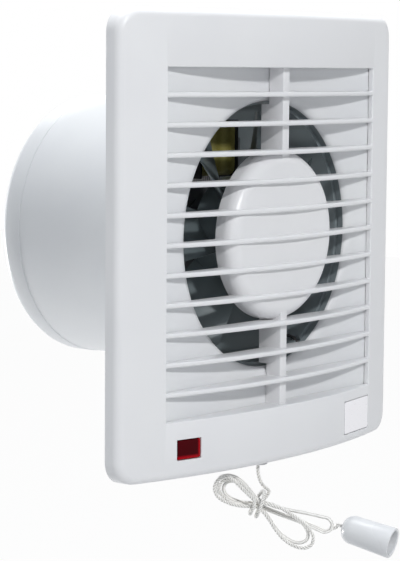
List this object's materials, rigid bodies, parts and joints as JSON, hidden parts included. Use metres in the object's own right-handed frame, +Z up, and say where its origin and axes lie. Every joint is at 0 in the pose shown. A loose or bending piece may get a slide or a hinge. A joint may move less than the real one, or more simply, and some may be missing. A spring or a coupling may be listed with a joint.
{
  "type": "bathroom exhaust fan",
  "caption": "Wall-mounted exhaust fan with a bowed louvred cover, round duct spigot, impeller and motor inside, indicator lamp and a pull cord switch with its cord wound in a hank.",
  "frame": {"origin": "on the duct's axis, in the plane of the wall behind the flange", "axes": "+Y into the wall along the duct, +Z up, -Y into the room, +X to the right for someone who faces the fan"},
  "size_m": [0.158, 0.1357, 0.1898],
  "materials": {
    "cover_plastic": "white moulded plastic, satin gloss",
    "casing_plastic": "white moulded plastic",
    "impeller_plastic": "dark grey moulded plastic",
    "lamination_steel": "stacked steel sheets",
    "bobbin_plastic": "black moulded plastic",
    "coil_tape": "olive insulating tape over wire",
    "plain_steel": "zinc-plated steel",
    "bearing_bronze": "sintered bronze",
    "screw_brass": "plain brass",
    "switch_plastic": "pale moulded plastic",
    "lens_red": "clear red plastic",
    "lamp_glass": "clear glass with an orange glow",
    "badge_silver": "bare satin plate",
    "grommet_rubber": "soft grey rubber",
    "lead_insulation": "black insulation",
    "cord_white": "off-white twisted cord",
    "acorn_plastic": "white moulded plastic"
  },
  "bodies": {
    "fan_body": {"front_cover": "cover_plastic", "inlet_plate": "casing_plastic", "duct_casing": "casing_plastic", "outlet_ring": "casing_plastic", "motor_bracket": "casing_plastic", "motor_stator": "lamination_steel", "coil_bobbin": "bobbin_plastic", "motor_coil": "coil_tape", "motor_front_plate": "plain_steel", "motor_rear_plate": "plain_steel", "front_bearing": "bearing_bronze", "rear_bearing": "bearing_bronze", "motor_screw_1": "plain_steel", "motor_screw_2": "plain_steel", "switch_body": "switch_plastic", "lever_pin": "plain_steel", "lever_return_spring": "plain_steel", "terminal_block": "switch_plastic", "terminal_screw_1": "screw_brass", "terminal_screw_2": "screw_brass", "terminal_screw_3": "screw_brass", "indicator_lens": "lens_red", "lamp_holder": "switch_plastic", "neon_lamp": "lamp_glass", "badge_plate": "badge_silver", "cable_grommet": "grommet_rubber", "cord_guide": "cover_plastic", "switch_lead": "lead_insulation", "lamp_lead": "lead_insulation", "motor_lead": "lead_insulation"},
    "impeller_set": {"motor_shaft": "plain_steel", "motor_rotor": "lamination_steel", "impeller": "impeller_plastic", "impeller_clip": "plain_steel"},
    "pull_cord": {"stop_knot": "cord_white", "inner_cord": "cord_white", "cord_stretch": "cord_white", "cord_hank": "cord_white", "cord_tail": "cord_white", "end_knot": "cord_white", "pull_acorn": "acorn_plastic"},
    "switch_lever": {"switch_lever": "bobbin_plastic"}
  },
  "joints": [
    {"name": "impeller_spin", "type": "hinge", "parent": "fan_body", "child": "impeller_set", "pos_m": [0, 0, 0], "axis": [0, 1, 0], "continuous": true},
    {"name": "pull_slide", "type": "slide", "parent": "fan_body", "child": "pull_cord", "axis": [0, 0, -1], "range_m": [0, 0.004], "stiffness_N_per_m": 500},
    {"name": "lever_hinge", "type": "hinge", "parent": "fan_body", "child": "switch_lever", "pos_m": [-0.019, -0.012, -0.0705], "axis": [0, 1, 0], "range_deg": [0, 25.5], "deforming": ["lever_return_spring"]}
  ],
  "couplings": [
    {"joint": "lever_hinge", "follows": "pull_slide", "rad_per_m": 111.1}
  ]
}
